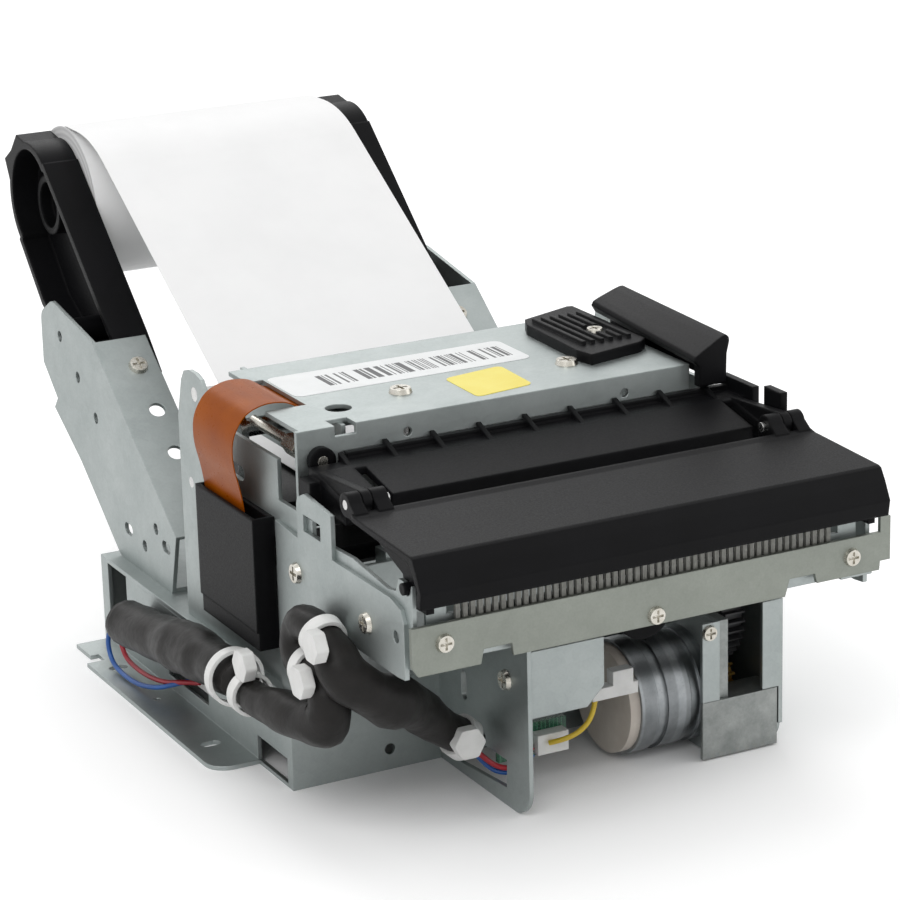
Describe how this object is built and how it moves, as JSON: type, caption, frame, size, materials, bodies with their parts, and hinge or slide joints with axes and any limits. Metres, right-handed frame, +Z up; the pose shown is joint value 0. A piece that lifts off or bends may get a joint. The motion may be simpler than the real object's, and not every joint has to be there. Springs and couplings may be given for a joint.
{
  "type": "kiosk printer",
  "caption": "Open-frame kiosk receipt printer with cutter, hinged print head, ribbed guide, motor drive and a sprung paper roll holder.",
  "frame": {"origin": "on the mounting surface, in the middle of the four slots of the base flanges", "axes": "+X to the right as seen from the paper exit, +Y to the back where the paper roll hangs, +Z up"},
  "size_m": [0.1645, 0.301, 0.1373],
  "materials": {
    "galvanised": "zinc-coated sheet, satin",
    "bar_steel": "zinc-coated sheet, darker",
    "bright_steel": "ground steel",
    "blade_steel": "ground cutting edge",
    "screw_steel": "bright nickel",
    "motor_steel": "turned can with bright bands",
    "pinion_brass": "machined",
    "black_plastic": "fine moulded texture",
    "gear_plastic": "moulded acetal",
    "cast_alloy": "die cast",
    "cap_plastic": "beige moulding",
    "white_plastic": "nylon connector",
    "sleeve_black": "braided sleeve",
    "wire_insulation": "coloured insulation",
    "board_green": "solder mask",
    "bristle": "conductive fibre",
    "platen_rubber": "ground rubber",
    "head_ceramic": "glazed strip",
    "flex_orange": "polyimide flex",
    "paper_white": "thermal paper",
    "core_card": "rolled card"
  },
  "bodies": {
    "chassis": {"base_tray": "galvanised", "base_deck": "galvanised", "left_inner_plate": "galvanised", "right_inner_plate": "galvanised", "left_outer_plate": "galvanised", "right_outer_plate": "galvanised", "brush_holder": "galvanised", "cutter_plate": "galvanised", "motor_bracket": "galvanised", "right_gear_plate": "galvanised", "foot_plate": "galvanised", "motor_cover_plate": "galvanised", "left_roll_bracket": "galvanised", "right_roll_bracket": "galvanised", "front_bar": "bar_steel", "hinge_pins": "bright_steel", "fixed_blade": "blade_steel", "frame_screws": "screw_steel", "motor_can": "motor_steel", "cutter_motor": "black_plastic", "cutter_guide": "black_plastic", "cutter_bed": "black_plastic", "lower_paper_guide": "black_plastic", "paper_sensor": "black_plastic", "flex_duct": "black_plastic", "left_roll_arm": "black_plastic", "right_roll_arm": "black_plastic", "platen_bushes": "gear_plastic", "gearbox_casting": "cast_alloy", "motor_cap": "cap_plastic", "white_fittings": "white_plastic", "rear_sleeve": "sleeve_black", "front_sleeve": "sleeve_black", "harness_wires": "wire_insulation", "circuit_boards": "board_green", "antistatic_brush": "bristle", "paper_web": "paper_white"},
    "head_unit": {"top_plate": "galvanised", "ear_bush": "black_plastic", "head_frame": "galvanised", "heat_sink": "cast_alloy", "thermal_head": "head_ceramic", "head_springs": "bright_steel", "head_screws": "screw_steel", "thumb_pad": "black_plastic", "head_flex_cable": "flex_orange"},
    "latch": {"latch_shaft": "bright_steel", "latch_handle": "black_plastic"},
    "cover": {"exit_cover": "black_plastic"},
    "platen": {"platen_rubber": "platen_rubber", "platen_shaft": "bright_steel", "platen_gear": "gear_plastic"},
    "idler_a": {"idler_gear_a": "gear_plastic"},
    "idler_b": {"idler_gear_b": "gear_plastic"},
    "pinion": {"motor_pinion": "pinion_brass"},
    "roll": {"paper_roll": "paper_white", "roll_core": "core_card"},
    "blade": {"moving_blade": "blade_steel"},
    "cutter_drive": {"cutter_pinion": "pinion_brass"}
  },
  "joints": [
    {"name": "head_hinge", "type": "hinge", "parent": "chassis", "child": "head_unit", "pos_m": [0, -0.0115, 0.092], "axis": [-1, 0, 0], "range_deg": [0, 60], "deforming": ["head_flex_cable"]},
    {"name": "latch_lift", "type": "hinge", "parent": "head_unit", "child": "latch", "pos_m": [0, -0.0285, 0.086], "axis": [-1, 0, 0], "range_deg": [0, 12], "stiffness_Nm_per_rad": 0.2, "springref_deg": -8.59},
    {"name": "cover_hinge", "type": "hinge", "parent": "chassis", "child": "cover", "pos_m": [0, -0.1045, 0.0875], "axis": [-1, 0, 0], "range_deg": [0, 75]},
    {"name": "platen_spin", "type": "hinge", "parent": "chassis", "child": "platen", "pos_m": [0, -0.0585, 0.06255], "axis": [1, 0, 0], "continuous": true},
    {"name": "idler_b_spin", "type": "hinge", "parent": "chassis", "child": "idler_b", "pos_m": [0.047, -0.06243, 0.04131], "axis": [1, 0, 0], "continuous": true},
    {"name": "idler_a_spin", "type": "hinge", "parent": "chassis", "child": "idler_a", "pos_m": [0.047, -0.08814, 0.03531], "axis": [1, 0, 0], "continuous": true},
    {"name": "pinion_spin", "type": "hinge", "parent": "chassis", "child": "pinion", "pos_m": [0.047, -0.092, 0.0165], "axis": [1, 0, 0], "continuous": true},
    {"name": "roll_spin", "type": "hinge", "parent": "chassis", "child": "roll", "pos_m": [-0.00175, 0.1325, 0.1135], "axis": [1, 0, 0], "continuous": true},
    {"name": "cutter_turn", "type": "hinge", "parent": "chassis", "child": "cutter_drive", "pos_m": [0.012, -0.0885, 0.049], "axis": [0, 1, 0], "range_deg": [0, 95.5]},
    {"name": "blade_slide", "type": "slide", "parent": "chassis", "child": "blade", "axis": [0, 0, 1], "range_m": [0, 0.008]}
  ],
  "couplings": [
    {"joint": "idler_b_spin", "follows": "platen_spin", "ratio": -0.8},
    {"joint": "idler_a_spin", "follows": "platen_spin", "ratio": 0.66667},
    {"joint": "pinion_spin", "follows": "platen_spin", "ratio": -2},
    {"joint": "cutter_turn", "follows": "blade_slide", "rad_per_m": 208.33}
  ]
}
